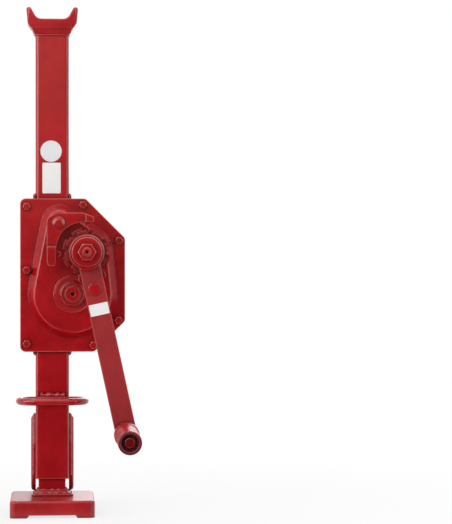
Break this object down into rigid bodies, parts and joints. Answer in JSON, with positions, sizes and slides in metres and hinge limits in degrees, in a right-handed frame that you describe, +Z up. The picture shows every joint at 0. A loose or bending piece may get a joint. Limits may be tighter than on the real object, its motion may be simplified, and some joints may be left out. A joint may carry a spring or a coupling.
{
  "type": "rack and pinion jack",
  "caption": "Hand-cranked steel rack jack: square lifting tube with horned head and side claw climbs a toothed rack on a foot plate, geared crank with reversible ratchet.",
  "frame": {"origin": "floor level under the rack's axis, on the plane of the foot's pads", "axes": "+Z up along the rack, -Y toward the crank side, +X toward the gear case's wide side"},
  "size_m": [0.1817, 0.3385, 0.7265],
  "materials": {
    "red_paint": "thick gloss paint",
    "rack_paint": "paint over greased steel",
    "grip_red": "gloss",
    "dark_steel": "dark, oiled",
    "shaft_steel": "turned steel with paint on its ends",
    "bare_steel": "machined",
    "bush_brass": "turned",
    "black_plastic": "matt"
  },
  "bodies": {
    "base": {"foot_plate": "red_paint", "rack": "rack_paint", "rack_weld": "red_paint"},
    "lift_frame": {"shaft_tube": "red_paint", "horn_head": "red_paint", "lifting_claw": "red_paint", "carry_ring": "red_paint", "rear_case": "red_paint", "front_cover": "red_paint", "cover_bolts": "red_paint", "crank_rear_boss": "red_paint", "crank_rear_bush": "bush_brass", "pinion_rear_boss": "red_paint", "pinion_rear_bush": "bush_brass", "crank_front_boss": "red_paint", "crank_front_bush": "bush_brass", "pinion_front_boss": "red_paint", "pinion_front_bush": "bush_brass", "pawl_post": "red_paint", "pawl_bolt": "red_paint"},
    "rack_pinion": {"pinion_shaft": "shaft_steel", "drive_gear": "bare_steel", "gear_key": "bare_steel", "gear_ring": "bare_steel"},
    "shaft_set": {"crank_shaft": "shaft_steel", "lock_collar": "dark_steel", "holding_ratchet": "dark_steel", "friction_disc": "red_paint", "drive_ratchet": "dark_steel", "end_collar": "red_paint", "crank_nut": "red_paint"},
    "crank": {"crank_hub": "red_paint", "hub_bush": "bush_brass", "crank_arm": "red_paint", "handle_spindle": "bare_steel", "pawl_pin": "red_paint", "pawl_washer": "red_paint", "detent_housing": "red_paint", "detent_spring": "bare_steel", "detent_plug": "black_plastic"},
    "grip": {"handle_grip": "grip_red"},
    "crank_pawl": {"crank_pawl": "red_paint"},
    "detent": {"detent_plunger": "red_paint"},
    "hold_pawl": {"holding_pawl": "red_paint", "pawl_bush": "bush_brass"}
  },
  "joints": [
    {"name": "lift_slide", "type": "slide", "parent": "base", "child": "lift_frame", "axis": [0, 0, 1], "range_m": [0, 0.3488]},
    {"name": "pinion_spin", "type": "hinge", "parent": "lift_frame", "child": "rack_pinion", "pos_m": [0.029, 0, 0.31546], "axis": [0, -1, 0], "range_deg": [-10, 1675]},
    {"name": "shaft_spin", "type": "hinge", "parent": "lift_frame", "child": "shaft_set", "pos_m": [0.048, 0, 0.375], "axis": [0, 1, 0], "range_deg": [0, 6660]},
    {"name": "crank_swing", "type": "hinge", "parent": "shaft_set", "child": "crank", "pos_m": [0.048, 0, 0.375], "axis": [0, -1, 0], "continuous": true},
    {"name": "grip_spin", "type": "hinge", "parent": "crank", "child": "grip", "pos_m": [0.10381, 0, 0.11901], "axis": [0, -1, 0], "continuous": true},
    {"name": "crank_pawl_flip", "type": "hinge", "parent": "crank", "child": "crank_pawl", "pos_m": [0.05929, 0, 0.32322], "axis": [0, -1, 0], "range_deg": [-13, 13]},
    {"name": "detent_press", "type": "slide", "parent": "crank", "child": "detent", "axis": [0.213, 0, -0.977], "range_m": [0, 0.002], "stiffness_N_per_m": 1500, "deforming": ["detent_spring"]},
    {"name": "hold_pawl_rock", "type": "hinge", "parent": "lift_frame", "child": "hold_pawl", "pos_m": [0.009, 0, 0.416], "axis": [0, -1, 0], "range_deg": [-7.5, 7.5]}
  ],
  "couplings": [
    {"joint": "pinion_spin", "follows": "shaft_spin", "ratio": 0.25},
    {"joint": "lift_slide", "follows": "shaft_spin", "m_per_rad": 0.003}
  ]
}
